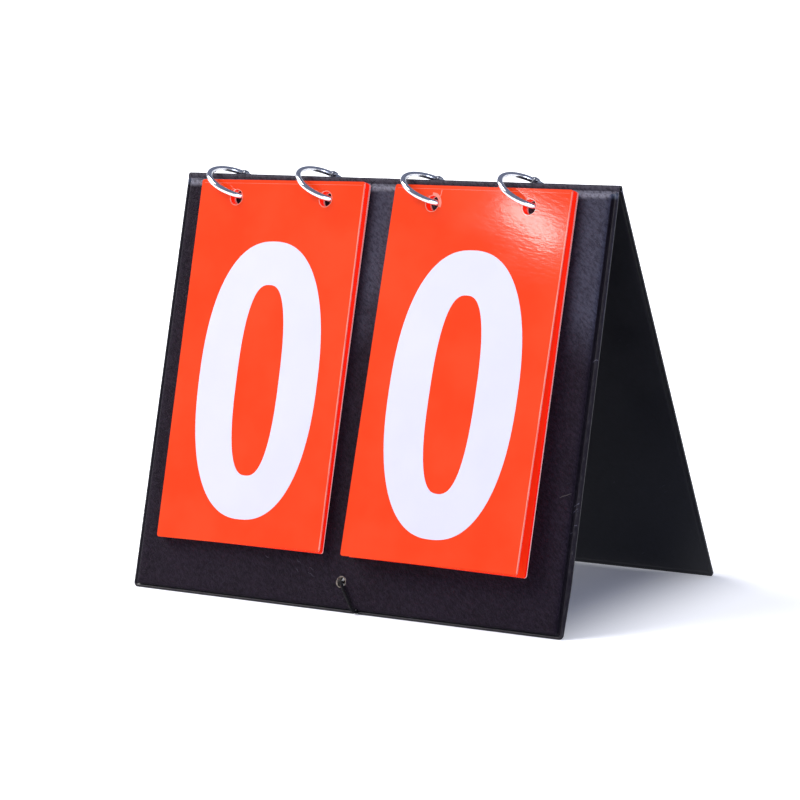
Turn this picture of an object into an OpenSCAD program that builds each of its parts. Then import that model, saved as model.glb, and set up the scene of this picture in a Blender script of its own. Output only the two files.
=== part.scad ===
// Tabletop flip scoreboard: two vinyl-covered boards joined by a narrow welded spine stand as a tent,
// four snap rings carry two stacks of ten number cards, and a cord stops the boards from spreading.
// The origin is the middle of the front board's foot, on the table. X runs along the board,
// Y points away from the reader and Z points up.

/* [Boards] */
// Length of each board along the table
board_w = 240; // [200:1:300]
// Slant height of each board, from its hinge line to the table
board_h = 192; // [178:1:240]
// Thickness over the padded face
board_t = 3; // [2.6:0.1:4]
// Lean of each board from the vertical, in degrees
board_lean = 18; // [13:0.5:21]
// Thickness of the outer vinyl sheet
sheet_t = 0.5; // [0.3:0.05:0.6]
// Thickness of the lining on the inner side
lining_t = 0.4; // [0.3:0.05:0.6]
// Radius of the corners at the foot
foot_r = 2.5; // [1.5:0.1:3]
// Radius of the corners at the hinge
hinge_r = 1.5; // [0.5:0.1:2]

/* [Welded rim] */
// Width of the flat rim at the two ends of a board
end_rim = 2.6; // [2:0.1:5]
// Width of the flat rim along the foot
foot_rim = 2; // [1.8:0.1:5]
// Width of the flat strip beside the hinge line
hinge_rim = 1; // [0.8:0.1:3]
// Width of the raised bead along the outer edge
bead_w = 1.2; // [0.8:0.1:1.5]
// Height of the bead above the inner side
bead_t = 1.3; // [1.1:0.1:1.6]
// Height of the pressed groove above the inner side
groove_t = 0.8; // [0.7:0.05:1]
// Radius of the rounded edge of the padded face
pad_round = 1.1; // [0.5:0.1:1.6]
// Distance of the weld line on the inner side from the board's edge
weld_in = 1.4; // [1:0.1:3]
// Width of the weld line
weld_w = 0.9; // [0.5:0.1:1.5]
// Depth of the weld line
weld_depth = 0.12; // [0.05:0.01:0.15]

/* [Spine] */
// Distance between the two hinge lines
hinge_gap = 1.6; // [1.5:0.1:3]
// Height of the straight sides of the folded spine
spine_leg = 0.8; // [0.4:0.1:2]
// Thickness of the spine's outer ply
spine_sheet_t = 0.45; // [0.3:0.05:0.5]

/* [Rings] */
// Radius of a ring, to the middle of its wire
ring_r = 13; // [12.5:0.5:16]
// Thickness of the wire
wire_d = 2.6; // [2:0.1:2.8]
// Lean of the four rings from the vertical, in degrees
ring_lean = [62, 59, 62, 59];
// Diameter of the ring holes in the boards
ring_hole_d = 8; // [7:0.1:9]
// Distance from the hinge line down to the ring holes
ring_drop = 8.2; // [7.5:0.1:9]
// Distance between the two holes that carry one stack
ring_span = 52; // [40:0.5:60]
// Distance from the middle of the board to the middle of each stack's holes
stack_x = 56; // [53:0.5:60]
// Diameter of the flattened eyes at a ring's hinge
eye_d = 3.6; // [3:0.1:4.2]
// Diameter of a ring's hinge pin
pin_d = 1.2; // [0.9:0.1:1.4]
// Diameter of the two heads of a pin
pin_head_d = 2.1; // [1.7:0.1:2.4]
// Thickness of a pin's head
pin_head_t = 0.3; // [0.2:0.05:0.5]
// Length of the snap nose on a gate
snap_l = 1.2; // [0.8:0.1:1.6]
// Diameter of the snap nose
snap_d = 1.2; // [0.9:0.1:1.4]

/* [Cards] */
// Width of a number card
card_w = 95; // [80:1:105]
// Height of a number card
card_h = 167; // [120:1:170]
// Thickness of a card
card_t = 0.2; // [0.15:0.01:0.3]
// Air between two cards
card_air = 0.05; // [0.04:0.01:0.1]
// Air between the board and the rear card
stack_air = 0.3; // [0.2:0.05:0.6]
// Radius of a card's corners
card_r = 1.2; // [0.5:0.1:5]
// Diameter of the holes in a card
card_hole_d = 7; // [6.5:0.1:8]
// Distance from a card's top edge to the middle of its holes
card_hole_drop = 8.2; // [7:0.1:9]
// How far the middle of a card's hole hangs below and beside the wire in it
card_hang = [-1.4, -0.6];
// Turn of the rear card and of the front card of each stack, in degrees
card_turn = [[0, 0.7], [-0.6, 0]];
// How far each front card stands off at rest, in degrees
card_stand_off = [0.4, 1.9];

/* [Spreader cord] */
// Thickness of the cord
cord_d = 1.4; // [1:0.1:1.6]
// Diameter of the cord hole in each board
cord_hole_d = 4.6; // [4:0.1:4.7]
// Height of the cord hole above the foot, along the board
cord_hole_rise = 13; // [12.5:0.5:13.5]
// Distance of the cord hole to the right of the middle of the board
cord_hole_x = 1.2; // [0.8:0.1:1.6]
// Diameter of a knot, which must not slip through the cord hole
knot_d = 5.2; // [4.8:0.1:5.4]

/* [Hidden] */
$fn = 48;
stacks = ["left", "right"];
card_count = 10;
ring_count = 4;
front_card = card_count - 1;

cord_sides = 8;

// The free gap at a live hinge, at a sliding fit and between pieces that only rest together
hinge_play = 0.15;
fit_play = 0.1;
ply_play = 0.05;

// How far a cutter reaches past what it cuts, and a joined shape into its neighbour
over = 1;

// A board's foot is worn flat on the table. The strip is the part of its edge below the floor plane.
foot_flat = 1.4;
foot_trim = foot_flat * sin(board_lean);
foot_y = foot_flat * cos(board_lean) / 2;
front_hinge_y = foot_y + board_h * sin(board_lean);
rear_hinge_y = front_hinge_y + hinge_gap;
hinge_z = board_h * cos(board_lean);
mid_y = (front_hinge_y + rear_hinge_y) / 2;

// Corner radii at the foot of the bead's inner side and of the weld line
bead_corner_r = max(foot_r - bead_w, 0.2);
weld_corner_r = max(foot_r - weld_in, 0.2);

// The padded face is drawn in from the board's edges by its rims and has small corners
pad_half = board_w / 2 - end_rim;
pad_low = -board_h - foot_trim + foot_rim;
pad_high = -hinge_play - hinge_rim;
pad_corner_r = 1.5;

// The pocket between the sheets that holds the stiff core
pocket_edge = 0.9;
pocket_r = 1;
core_base = lining_t;
core_top = board_t - sheet_t;

// The folded spine: radii of its inner face and of the face between its two plies
spine_inner_r = hinge_gap / 2 - ply_play;
spine_lining_r = spine_inner_r + lining_t;

// Ring hole positions along the board, from the reader's left to right
hole_x = [
    -stack_x - ring_span / 2,
    -stack_x + ring_span / 2,
    stack_x - ring_span / 2,
    stack_x + ring_span / 2
];

// A ring passes through the middle of its two board holes, which lie ring_chord either side of mid_y
ring_chord = hinge_gap / 2 + ring_drop * sin(board_lean) + board_t / 2 * cos(board_lean);
ring_reach = sqrt(ring_r * ring_r - ring_chord * ring_chord);
ring_hole_z = hinge_z - ring_drop * cos(board_lean) + board_t / 2 * sin(board_lean);

// Angles round a ring, counted from the reader's side, with 90 at the top
snap_angle = -22;
pin_angle = snap_angle + 180;
eye_t = wire_d / 2 - ply_play;
snap_play = 0.12;
snap_gap = 0.3;

function ring_x(i) = hole_x[i] - ring_reach * sin(ring_lean[i]);
function ring_z(i) = ring_hole_z + ring_reach * cos(ring_lean[i]);

// The angle round ring i at which its wire passes a plane n above the front board's inner side
function wire_a(i) = ring_r * cos(board_lean);
function wire_b(i) = ring_r * sin(board_lean) * cos(ring_lean[i]);
function wire_c(i, n) = n + hinge_gap / 2 * cos(board_lean) - (ring_z(i) - hinge_z) * sin(board_lean);
function wire_angle(i, n) =
    atan2(wire_b(i), wire_a(i)) - acos(wire_c(i, n) / norm([wire_a(i), wire_b(i)]));
function wire_x(i, n) = ring_x(i) - ring_r * sin(wire_angle(i, n)) * sin(ring_lean[i]);
function wire_drop(i, n) =
    -(hinge_gap / 2 - ring_r * cos(wire_angle(i, n))) * sin(board_lean)
    - (ring_z(i) + ring_r * sin(wire_angle(i, n)) * cos(ring_lean[i]) - hinge_z) * cos(board_lean);

// Cards are counted from the front card, 0, to the rear card; level j counts from the board outwards
function card_n(j) = board_t + stack_air + j * (card_t + card_air);
function card_x(side, j) =
    (wire_x(2 * side, card_n(j)) + wire_x(2 * side + 1, card_n(j))) / 2 + card_hang[0];
function card_y(side, j) =
    -(wire_drop(2 * side, card_n(j)) + wire_drop(2 * side + 1, card_n(j))) / 2 + card_hang[1];
function card_angle(side, j) =
    card_turn[side][0] + (card_turn[side][1] - card_turn[side][0]) * j / front_card;

// The cord's loop round the foot, as points across the board (x), up from the foot along the board
// and out from the inner side. It starts and ends at the knot behind the hole.
loop_points = [
    [1.2, 13, -1], [1.2, 13, 1.2], [1.4, 12.9, 2.7], [2, 12.2, 3.7], [3.2, 10.6, 4], [5, 8, 4],
    [7, 5.4, 4], [8.6, 3, 4], [9.4, 1.8, 3.7], [9.7, 0.9, 2.9], [9.8, 0.6, 1.9],
    [9.8, 0.6, 0.8], [9.8, 1, -0.3], [9.5, 1.6, -1.2], [8.4, 3.4, -1.3], [6.4, 6.4, -1.3],
    [4.2, 9.4, -1.4], [2.8, 11.2, -2]
];

// The nick that the loop has pressed into the soft rim at the foot
nick_x = 9.8;
nick_rise = 0.7;
nick_play = 0.6;
nick_w = cord_d + 2 * nick_play;

// The middles of the two knots, and the cord that hangs a little slack between them
span_steps = 12;
span_sag = 1.5;
knot_off = 0.2;
knot_in = knot_d / 2 + knot_off;
knot_y = front_hinge_y - (board_h - cord_hole_rise) * sin(board_lean) + knot_in * cos(board_lean);
knot_z = cord_hole_rise * cos(board_lean) - knot_in * sin(board_lean);
span_start = knot_y + knot_d / 2 + fit_play;
span_end = 2 * mid_y - span_start;
span_points = [
    for (i = [0:span_steps])
        let (f = i / span_steps)
            [
                cord_hole_x * (1 - 2 * f),
                span_start + (span_end - span_start) * f,
                knot_z - span_sag * 4 * f * (1 - f)
            ]
];

// Board frame: x along the board, y up the slope from the hinge line, z out from the inner side
module on_front_board() {
    translate([0, front_hinge_y, hinge_z]) rotate([90 - board_lean, 0, 0]) children();
}

module on_rear_board() {
    translate([0, 2 * mid_y, 0]) rotate([0, 0, 180]) on_front_board() children();
}

// A board's outline, drawn in from its edges by the three rim widths
module board_outline(end_in, foot_in, hinge_in, foot_corner, hinge_corner) {
    half = board_w / 2 - end_in;
    low = -board_h - foot_trim + foot_in;
    high = -hinge_play - hinge_in;
    translate([-half, low + foot_corner]) square([2 * half, high - low - foot_corner - hinge_corner]);
    translate([-half + foot_corner, low]) square([2 * (half - foot_corner), foot_corner + over]);
    translate([-half + hinge_corner, high - hinge_corner - over])
        square([2 * (half - hinge_corner), hinge_corner + over]);
    for (s = [-1, 1]) {
        translate([s * (half - foot_corner), low + foot_corner]) circle(foot_corner);
        translate([s * (half - hinge_corner), high - hinge_corner]) circle(hinge_corner);
    }
}

module whole_outline() {
    board_outline(0, 0, 0, foot_r, hinge_r);
}

// The end view of the padded face: a bar with two rounded upper edges
module bar_profile(low, high) {
    shoulder = board_t - pad_round;
    translate([low, lining_t]) square([high - low, shoulder - lining_t]);
    translate([low + pad_round, lining_t]) square([high - low - 2 * pad_round, board_t - lining_t]);
    for (x = [low + pad_round, high - pad_round]) translate([x, shoulder]) circle(pad_round);
}

// The padded face is where two such bars cross, with its corners rounded off
module padded_face() {
    intersection() {
        translate([0, pad_high, 0])
            rotate([90, 0, 0]) linear_extrude(pad_high - pad_low) bar_profile(-pad_half, pad_half);
        translate([-pad_half, 0, 0])
            rotate([90, 0, 90]) linear_extrude(2 * pad_half) bar_profile(pad_low, pad_high);
        translate([0, 0, lining_t])
            linear_extrude(board_t)
                board_outline(end_rim, foot_rim, hinge_rim, pad_corner_r, pad_corner_r);
    }
}

module pocket_outline(play) {
    board_outline(
        end_rim + pocket_edge + play,
        foot_rim + pocket_edge + play,
        hinge_rim + pocket_edge + play,
        pocket_r - play,
        pocket_r - play
    );
}

module ring_holes(from_n, to_n, mirrored) {
    for (x = hole_x)
        translate([mirrored ? -x : x, -ring_drop, from_n - over])
            cylinder(d = ring_hole_d, h = to_n - from_n + 2 * over);
}

module cord_hole(from_n, to_n) {
    translate([cord_hole_x, -board_h + cord_hole_rise, from_n - over])
        cylinder(d = cord_hole_d, h = to_n - from_n + 2 * over);
}

module foot_nick() {
    translate([nick_x, -board_h + nick_rise, -over]) {
        cylinder(d = nick_w, h = board_t + 2 * over);
        translate([-nick_w / 2, -nick_w, 0]) cube([nick_w, nick_w, board_t + 2 * over]);
    }
}

// Everything of a board that would lie below the table
module floor_cut() {
    translate([-board_w, -board_w, -board_w]) cube([2 * board_w, 2 * board_w, board_w]);
}

module board_core(mirrored) {
    difference() {
        translate([0, 0, core_base])
            linear_extrude(core_top - core_base - ply_play) pocket_outline(fit_play);
        ring_holes(0, board_t, mirrored);
        cord_hole(0, board_t);
    }
}

// The lining shows the press's weld line round its two ends and its foot
module weld_line() {
    inner = weld_in + weld_w;
    translate([0, 0, -over])
        linear_extrude(over + weld_depth)
            difference() {
                board_outline(weld_in, weld_in, weld_in, weld_corner_r, weld_corner_r);
                board_outline(inner, inner, inner, weld_corner_r, weld_corner_r);
            }
}

module board_lining(mirrored) {
    difference() {
        linear_extrude(lining_t) whole_outline();
        weld_line();
        ring_holes(0, lining_t, mirrored);
        cord_hole(0, lining_t);
        foot_nick();
    }
}

// The outer sheet: a welded rim with its groove and bead, and the padded face over the core
module board_cover(mirrored) {
    difference() {
        union() {
            translate([0, 0, lining_t])
                linear_extrude(groove_t - lining_t) whole_outline();
            translate([0, 0, lining_t])
                linear_extrude(bead_t - lining_t)
                    difference() {
                        whole_outline();
                        board_outline(bead_w, bead_w, -board_h / 2, bead_corner_r, bead_corner_r);
                    }
            padded_face();
        }
        translate([0, 0, lining_t - over])
            linear_extrude(core_top - lining_t + over) pocket_outline(0);
        ring_holes(0, board_t, mirrored);
        cord_hole(0, board_t);
        foot_nick();
    }
}

module front_core() {
    color("#8C8274") on_front_board() board_core(false);
}

module front_lining() {
    color("#23232B")
        difference() {
            on_front_board() board_lining(false);
            floor_cut();
        }
}

module front_cover() {
    color("#2A2932")
        difference() {
            on_front_board() board_cover(false);
            floor_cut();
        }
}

module rear_core() {
    color("#8C8274") on_rear_board() board_core(true);
}

module rear_lining() {
    color("#23232B")
        difference() {
            on_rear_board() board_lining(true);
            floor_cut();
        }
}

module rear_cover() {
    color("#2A2932")
        difference() {
            on_rear_board() board_cover(true);
            floor_cut();
        }
}

// The folded spine is an arch: two straight sides over the hinge lines under a half round top
module arch_outline(radius) {
    translate([0, spine_leg]) circle(radius);
    translate([-radius, 0]) square([2 * radius, spine_leg]);
}

module spine_ply(outer, inner) {
    translate([-board_w / 2, mid_y, hinge_z + hinge_play])
        rotate([90, 0, 90])
            linear_extrude(board_w)
                difference() {
                    intersection() {
                        arch_outline(outer);
                        translate([-outer, 0]) square([2 * outer, spine_leg + outer]);
                    }
                    arch_outline(inner);
                    translate([-inner, -over]) square([2 * inner, over + spine_leg]);
                }
}

module spine_lining() {
    color("#23232B") spine_ply(spine_lining_r, spine_inner_r);
}

module spine_cover() {
    color("#2A2932")
        spine_ply(spine_lining_r + ply_play + spine_sheet_t, spine_lining_r + ply_play);
}

// A card hangs in the board frame with the middle of its holes at the origin
module card_blank() {
    half = card_w / 2;
    low = -card_h + card_hole_drop;
    linear_extrude(card_t)
        difference() {
            union() {
                translate([-half, low + card_r]) square([card_w, card_h - 2 * card_r]);
                translate([-half + card_r, low]) square([card_w - 2 * card_r, card_h]);
                for (x = [-1, 1], y = [low + card_r, card_hole_drop - card_r])
                    translate([x * (half - card_r), y]) circle(card_r);
            }
            for (x = [-1, 1]) translate([x * ring_span / 2, 0]) circle(d = card_hole_d);
        }
}

module card(side, k) {
    j = front_card - k;
    off = k == 0 ? card_stand_off[side] : 0;
    color(k % 2 == 0 ? "#FA5A36" : "#F4502C")
        on_front_board()
            translate([card_x(side, j), card_y(side, j), card_n(j)])
                rotate([0, 0, card_angle(side, j)])
                    translate([0, card_hole_drop, 0])
                        rotate([-off, 0, 0])
                            translate([0, -card_hole_drop, 0]) card_blank();
}

// Ring frame: the ring lies in the XY plane, with angle 0 towards the reader and 90 at its top
module on_ring(i) {
    translate([ring_x(i), mid_y, ring_z(i)])
        multmatrix([
            [0, -sin(ring_lean[i]), -cos(ring_lean[i]), 0],
            [-1, 0, 0, 0],
            [0, cos(ring_lean[i]), -sin(ring_lean[i]), 0],
            [0, 0, 0, 1]
        ])
            children();
}

module wire(from_angle, to_angle) {
    rotate([0, 0, from_angle])
        rotate_extrude(angle = to_angle - from_angle)
            translate([ring_r, 0]) circle(d = wire_d);
}

// A ring's hinge: the wire ends in a flattened eye on one side of the ring's plane, and is cut away
// on the other side where the other half's eye turns
module at_pin(level) {
    rotate([0, 0, pin_angle]) translate([ring_r, 0, level]) children();
}

module eyed_wire(from_angle, to_angle, side) {
    difference() {
        union() {
            difference() {
                wire(from_angle, to_angle);
                at_pin(side > 0 ? -wire_d : -ply_play)
                    cylinder(d = eye_d + 2 * fit_play, h = wire_d + ply_play);
            }
            at_pin(side > 0 ? ply_play : -ply_play - eye_t) cylinder(d = eye_d, h = eye_t);
        }
        at_pin(-wire_d) cylinder(d = pin_d + 2 * fit_play, h = 2 * wire_d);
    }
}

// The fixed half is threaded through both boards and the cards, under the top of the ring
module ring_frame(i) {
    color("#D5D8DC")
        on_ring(i)
            difference() {
                eyed_wire(pin_angle, snap_angle + 360, -1);
                rotate([0, 0, snap_angle])
                    translate([ring_r, over, 0])
                        rotate([90, 0, 0])
                            cylinder(d = snap_d + 2 * snap_play, h = snap_l + over + snap_play);
            }
}

// The gate closes the top of the ring and snaps its nose into the fixed half
module ring_gate(i) {
    color("#D5D8DC")
        on_ring(i) {
            eyed_wire(snap_angle + snap_gap, pin_angle, 1);
            rotate([0, 0, snap_angle])
                translate([ring_r, over, 0])
                    rotate([90, 0, 0]) cylinder(d = snap_d, h = snap_l + over);
        }
}

module ring_pin(i) {
    reach = wire_d / 2 + ply_play;
    color("#B9BDC3")
        on_ring(i)
            rotate([0, 0, pin_angle])
                translate([ring_r, 0, 0]) {
                    translate([0, 0, -reach - pin_head_t]) cylinder(d = pin_d, h = 2 * (reach + pin_head_t));
                    for (z = [-reach - pin_head_t, reach])
                        translate([0, 0, z]) cylinder(d = pin_head_d, h = pin_head_t);
                }
}

// A tube of round section swept along a list of points
function unit(v) = v / norm(v);
function path_way(p, i) = unit(p[min(i + 1, len(p) - 1)] - p[max(i - 1, 0)]);
function path_side(p, i) = unit([1, 0, 0] - path_way(p, i) * path_way(p, i)[0]);
module tube(p, d, sides) {
    last = len(p) - 1;
    rings = [
        for (i = [0:last], a = [0:sides - 1])
            let (u = path_side(p, i), v = cross(path_way(p, i), u), t = 360 * a / sides)
                p[i] + d / 2 * (cos(t) * u + sin(t) * v)
    ];
    walls = [
        for (i = [0:last - 1], a = [0:sides - 1])
            let (b = (a + 1) % sides, q = i * sides)
                [q + b, q + a, q + sides + a, q + sides + b]
    ];
    polyhedron(
        rings,
        concat(
            walls,
            [[for (a = [0:sides - 1]) a]],
            [[for (a = [sides - 1:-1:0]) last * sides + a]]
        )
    );
}

module knot() {
    translate([cord_hole_x, -board_h + cord_hole_rise, -knot_in]) sphere(d = knot_d);
}

module cord_loop() {
    translate([0, -board_h, 0]) tube(loop_points, cord_d, cord_sides);
    knot();
}

module front_cord_loop() {
    color("#17161B") on_front_board() cord_loop();
}

module rear_cord_loop() {
    color("#17161B") on_rear_board() cord_loop();
}

module spreader_cord() {
    color("#17161B") tube(span_points, cord_d, cord_sides);
}

front_core();
front_lining();
front_cover();
rear_core();
rear_lining();
rear_cover();
spine_lining();
spine_cover();
for (side = [0:1], k = [0:card_count - 1])
    card(side, k);
for (i = [0:ring_count - 1]) {
    ring_frame(i);
    ring_gate(i);
    ring_pin(i);
}
front_cord_loop();
rear_cord_loop();
spreader_cord();
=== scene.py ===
import math
from functools import partial

import bpy
import numpy as np
from mathutils import Matrix, Vector, noise
from mathutils.geometry import delaunay_2d_cdt


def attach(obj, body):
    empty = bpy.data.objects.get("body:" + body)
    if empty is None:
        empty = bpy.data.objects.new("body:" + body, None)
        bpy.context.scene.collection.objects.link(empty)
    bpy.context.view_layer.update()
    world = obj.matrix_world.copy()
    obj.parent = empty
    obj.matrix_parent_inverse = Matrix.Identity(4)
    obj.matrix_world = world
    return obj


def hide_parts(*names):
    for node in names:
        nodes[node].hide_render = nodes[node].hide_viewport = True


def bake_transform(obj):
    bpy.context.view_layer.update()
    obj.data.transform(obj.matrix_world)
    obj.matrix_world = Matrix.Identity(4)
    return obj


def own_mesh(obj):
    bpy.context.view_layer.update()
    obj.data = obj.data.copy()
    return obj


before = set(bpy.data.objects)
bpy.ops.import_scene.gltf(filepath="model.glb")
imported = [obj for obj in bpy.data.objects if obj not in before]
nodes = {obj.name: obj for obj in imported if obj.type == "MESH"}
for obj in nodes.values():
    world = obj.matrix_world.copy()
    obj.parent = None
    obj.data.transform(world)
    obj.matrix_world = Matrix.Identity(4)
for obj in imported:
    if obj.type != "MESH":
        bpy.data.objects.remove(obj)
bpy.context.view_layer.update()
mm = 0.001

# Places on a board are in millimetres: x along it, y up from the hinge line, n out from its inner side
board = {
    "width": 240.0,
    "height": 192.0,
    "thickness": 3.0,
    "lean": 18.0,  # degrees
    "footFlat": 1.4,  # depth of the flat that the foot stands on
    "hingeGap": 1.6,
    "hingePlay": 0.15,
}
lean = math.radians(board["lean"])
hingeY = board["footFlat"] * math.cos(lean) / 2 + board["height"] * math.sin(lean)
hingeZ = board["height"] * math.cos(lean)
midY = hingeY + board["hingeGap"] / 2
footY = -board["height"] - board["footFlat"] * math.sin(lean)  # the foot's edge before the floor trims it
outward = (0.0, -math.cos(lean), math.sin(lean))  # the way that the front board and its cards face


def onFront(points):
    x, y, n = np.asarray(points, float).T
    return mm * np.column_stack([
        x,
        hingeY + y * math.sin(lean) - n * math.cos(lean),
        hingeZ + y * math.cos(lean) + n * math.sin(lean),
    ])


def onRear(points):
    turned = onFront(points)
    return np.column_stack([-turned[:, 0], 2 * midY * mm - turned[:, 1], turned[:, 2]])


def makeMesh(name, verts, faces, material, sharp=40.0):
    mesh = bpy.data.meshes.new(name)
    mesh.from_pydata([tuple(v) for v in verts], [], [tuple(int(i) for i in f) for f in faces])
    mesh.validate()
    mesh.shade_smooth()
    mesh.set_sharp_from_angle(angle=math.radians(sharp))
    mesh.materials.append(material)
    piece = bpy.data.objects.new(name, mesh)
    bpy.context.scene.collection.objects.link(piece)
    return piece


def ringFaces(count, size, closed=False, capped=True):
    # the faces between rings of points, and a cap at each end of a row that isn't closed
    faces = []
    if capped and not closed:
        faces = [range(size - 1, -1, -1), range((count - 1) * size, count * size)]
    for i in range(count if closed else count - 1):
        for a in range(size):
            b, j = (a + 1) % size, (i + 1) % count
            faces.append((i * size + a, i * size + b, j * size + b, j * size + a))
    return faces


def standAt(thing, place, right, up, back):
    thing.matrix_world = Matrix.Translation(place) @ Matrix((right, up, back)).transposed().to_4x4()
    bpy.context.scene.collection.objects.link(thing)


# Camera, at the photograph's angle
cameraView = {
    "azimuth": 37.41,
    "elevation": 10.58,
    "roll": -3.47,
    "target": (-5.0, 60.8, 84.0),  # mm
    "distance": 1558.0,  # mm
    "lens": 154.7,
    "sensor": 36.0,
}


def makeCamera(view):
    azimuth, elevation, roll = (math.radians(view[k]) for k in ("azimuth", "elevation", "roll"))
    back = Vector((
        math.sin(azimuth) * math.cos(elevation),
        -math.cos(azimuth) * math.cos(elevation),
        math.sin(elevation),
    ))
    level = Vector((math.cos(azimuth), math.sin(azimuth), 0))
    rise = back.cross(level)
    right = level * math.cos(roll) + rise * math.sin(roll)
    up = rise * math.cos(roll) - level * math.sin(roll)
    camera = bpy.data.objects.new("camera", bpy.data.cameras.new("camera"))
    camera.data.lens = view["lens"]
    camera.data.sensor_width = view["sensor"]
    standAt(camera, (Vector(view["target"]) + back * view["distance"]) * mm, right, up, back)
    bpy.context.scene.camera = camera


makeCamera(cameraView)
print("camera set")


# Materials. In their dictionaries a range turns what a pattern gives, smoothly, into 3 at the value 1 and
# into 4 at the value 2; where these are left out they are 0 and 1. Sizes and depths are in mm
soft = {1: 0.3, 2: 0.7}  # takes in most of what a noise pattern gives
multiplyAdd = {"operation": "MULTIPLY_ADD"}
usual = {  # what all the nodes of a kind have in common here
    "MapRange": {"interpolation_type": "SMOOTHSTEP"},
    "Mapping": {"vector_type": "TEXTURE"},
    "Math": {"operation": "MULTIPLY"},
    "Mix": {"data_type": "RGBA"},
    "TexVoronoi": {"feature": "DISTANCE_TO_EDGE"},
}


def linearColour(hexText):
    parts = [int(hexText[i:i + 2], 16) / 255 for i in (1, 3, 5)]
    return (*[p / 12.92 if p <= 0.04045 else ((p + 0.055) / 1.055) ** 2.4 for p in parts], 1.0)


def cellsPer(size):
    return 1 / (size * mm)  # a pattern's scale, for features of this size in object space


def addNode(tree, kind, settings={}):
    # links what is another node's output and sets the rest; gives the new node's outputs
    node = tree.nodes.new("ShaderNode" + kind)
    for key, value in {**usual.get(kind, {}), **settings}.items():
        if isinstance(value, bpy.types.NodeSocket):
            tree.links.new(value, node.inputs[key])
        elif isinstance(key, str) and key not in node.inputs:
            setattr(node, key, value)
        else:
            node.inputs[key].default_value = linearColour(value) if isinstance(value, str) else value
    return node.outputs


def newMaterial(name):
    material = bpy.data.materials.new(name)
    material.use_nodes = True
    material.node_tree.nodes.clear()
    add = partial(addNode, material.node_tree)
    return material, add, add("TexCoord")["Object"]


def finishMaterial(material, surface):
    add = partial(addNode, material.node_tree)
    add("OutputMaterial", {"Surface": add("BsdfPrincipled", surface)[0]})
    return material


# Plasticised PVC sheet, embossed with a fine leather grain while hot: nearly black with a hint of plum, its
# tone broken into fine slanting streaks by the grain, dull but for a soft sheen, lighter where it is scuffed;
# a paler sheen along the board's top edge is painted into its colour
leatherette = {
    "dark": "#19131B",
    "light": "#2C242F",
    "scuff": "#2B2731",
    "roughness": {3: 0.37, 4: 0.49},
    "specular": 0.03,
    "grain": 0.95,  # across a pebble of the grain; a little coarser than the real 0.6 so that it shows
    "crease": 3.2,  # across the patches that longer creases part
    "cloud": 34.0,  # slow changes of colour
    "grainDepth": 0.13,
    "paintedSheen": "#8C8A96",  # painted sheen: a paler band along the board's top edge, where the tight skin over the padded shoulder catches the light
}
# on the front board a broad sheen is painted below that edge, standing in for the light that the vinyl
# reflects there; it fades out a third of the way down
paintedSheenPatchedLeatherette = {**leatherette, "paintedSheenPatch": "#4E4D5B"}
scuffedLeatherette = {**leatherette, "dark": "#3C3842", "light": "#47434D"}
creasedLeatherette = {**leatherette, "dark": "#4C4648", "light": "#575150"}

# The same sheet where the hot bar of the welding press has flattened its grain: smoother and a little
# shinier, so that it shows as a line along the rim; along the top edge it takes the painted sheen band in a
# bluer colour
weldedRim = {**leatherette, "dark": "#17131A", "light": "#231E26", "scuff": "#5A5763", "paintedSheen": "#5A6070",
             "roughness": {3: 0.29, 4: 0.41}, "specular": 0.24, "cloud": 20.0, "grainDepth": 0.02}

# Calendered PVC lining sheet, nearly smooth: a darker film than the cover, and shinier
liningFilm = {"dark": "#111116", "light": "#18181F", "scuff": "#2B2B33", "roughness": {3: 0.35, 4: 0.47},
              "specular": 0.4, "grain": 0.6, "crease": 6.0, "cloud": 40.0, "grainDepth": 0.012}

# What the press and use leave in every vinyl sheet
pressedGrain = {
    "wander": {"Scale": cellsPer(2.5), "Detail": 2.0},
    "bend": (0.9 * mm, 0.9 * mm, 0.9 * mm),  # how far the wander bends the grain
    "furrow": {2: 0.25},  # the share of a pebble that falls away at its edge
    "fold": {2: 0.10},
    "foldShare": 0.6,
    "fine": {"Scale": cellsPer(0.4), "Detail": 3.0, "Roughness": 0.6},
    "fineShare": 0.5,
    "mottleSlant": {"Rotation": (0.0, math.radians(40), 0.0), "Scale": (3.0, 1.0, 1.0)},
    "mottle": {"Scale": cellsPer(0.9), "Detail": 3.0, "Roughness": 0.6},
    "speckle": {1: 0.34, 2: 0.68, 4: 0.75},
    "cloudShare": 0.25,
    "sheen": {1: 0.25, 2: 0.75},
    "scratchSlant": {"Rotation": (0.0, math.radians(-32), 0.0), "Scale": (8.0, 1.0, 1.0)},
    "scratch": {"Scale": cellsPer(0.9), "Detail": 1.0},
    "scratchRange": {1: 0.68, 2: 0.74},
    "patch": {"Scale": cellsPer(26.0), "Detail": 1.0},
    "patchRange": {1: 0.56, 2: 0.66},
}
# where the painted sheen band lies below the board's top edge, and how the mottle breaks it up
paintedSheenBand = {
    "rise": {1: -3.4, 2: -1.4},  # mm up from the board's top edge
    "fall": {1: 0.6, 2: -0.1, 3: 0.25},
    "broken": {1: 0.25, 2: 0.6, 3: 0.25, 4: 0.85},  # by the mottle
}
# where the painted sheen patch lies on the front board
paintedSheenPatchArea = {
    "rise": {1: -48.0, 2: -18.0, 4: 0.9},  # mm up from the board's top edge
    "wander": 44.0,  # mm that the slow changes of colour move it down by
    "broken": {1: 0.3, 2: 0.64, 3: 0.45},
    "start": 12.0,  # mm to the left of the middle, where the painted sheen starts
    "stackPitch": 112.0,
    # how far to the right of a stack the painted shadow keeps the painted sheen off, in mm
    "beside": {1: 0.5, 2: 8.5},
}


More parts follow.
